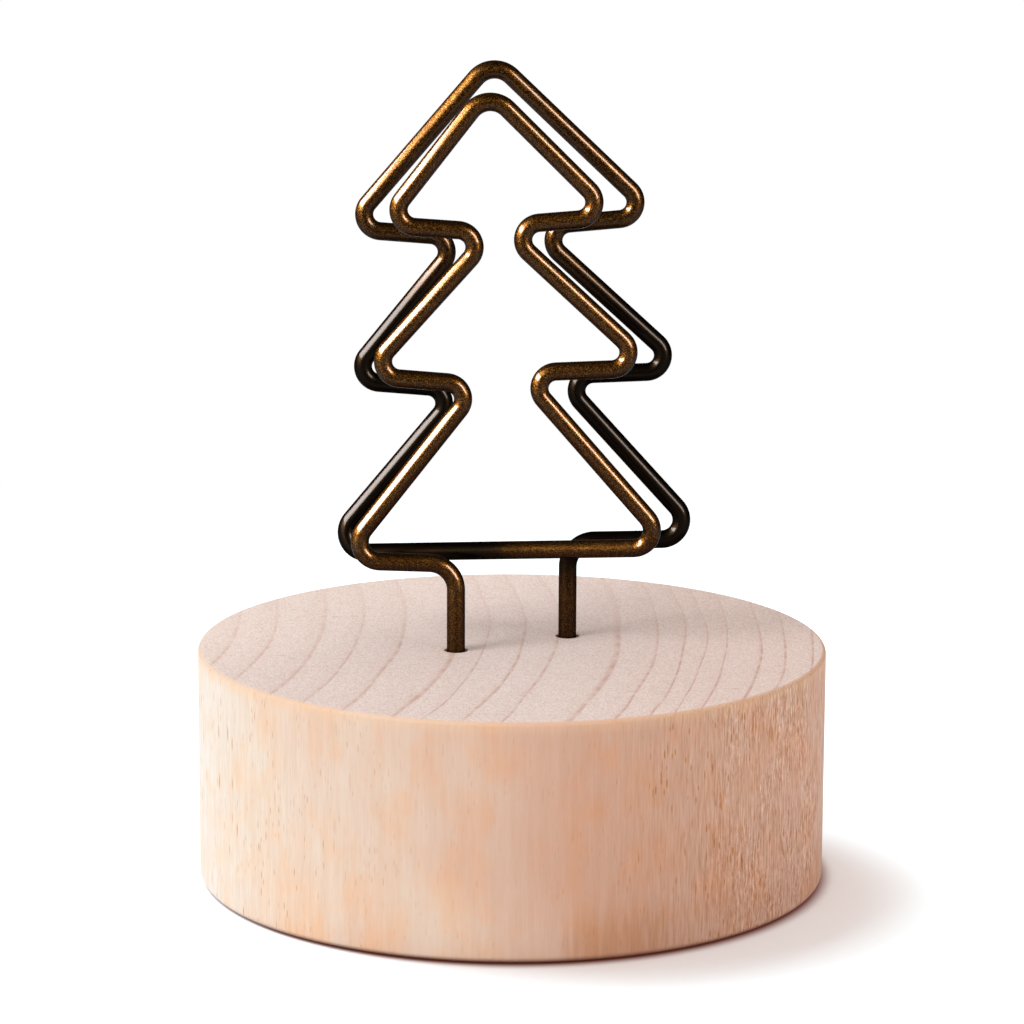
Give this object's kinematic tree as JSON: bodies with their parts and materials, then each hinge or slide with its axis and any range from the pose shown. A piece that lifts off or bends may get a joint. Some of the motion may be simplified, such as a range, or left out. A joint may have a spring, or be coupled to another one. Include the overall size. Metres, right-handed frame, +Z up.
{
  "type": "photo holder stand",
  "caption": "Photo holder stand: a round wooden block with a bent bronze wire clip, whose fir-tree outlines stand one behind the other to hold a photo or card.",
  "frame": {"origin": "middle of the wooden base's underside", "axes": "+Z up along the base's axis; the trees stand in planes parallel to XZ and the smaller one faces -Y, the front"},
  "size_m": [0.04, 0.04, 0.0519],
  "materials": {
    "beech": "sanded bare beech, end grain on top and long grain round the side",
    "bronzed_wire": "antique bronze, satin, with a fine gold fleck"
  },
  "bodies": {
    "block": {"wood_base": "beech"},
    "clip": {"wire_clip": "bronzed_wire"}
  },
  "joints": [
    {"name": "clip_lift", "type": "slide", "parent": "block", "child": "clip", "axis": [0, 0, 1], "range_m": [0, 0.01]}
  ]
}
